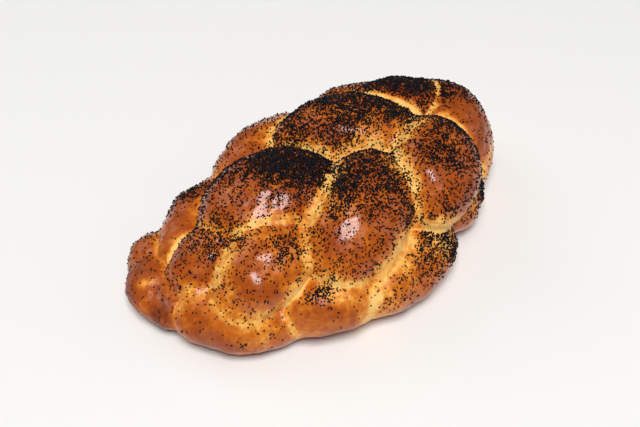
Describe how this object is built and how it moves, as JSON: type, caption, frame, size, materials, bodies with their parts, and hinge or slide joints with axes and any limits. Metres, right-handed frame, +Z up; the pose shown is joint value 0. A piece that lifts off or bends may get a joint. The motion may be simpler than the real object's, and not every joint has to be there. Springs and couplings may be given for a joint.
{
  "type": "braided loaf",
  "caption": "Plaited egg loaf with rounded lobes, a glazed brown crust, pale folds and poppy seeds, tapering to a rolled tail and resting on a flat foot.",
  "frame": {"origin": "middle of the loaf's outline at the level it rests on", "axes": "+X along the loaf from the narrow tail to the broad head, +Y across it, +Z up"},
  "size_m": [0.298, 0.192, 0.0874],
  "materials": {
    "crust": "egg-glazed baked crust, orange brown on top and pale yellow in the folds",
    "seed": "blue-black poppy seed"
  },
  "bodies": {
    "root": {"loaf": "crust"}
  },
  "joints": []
}
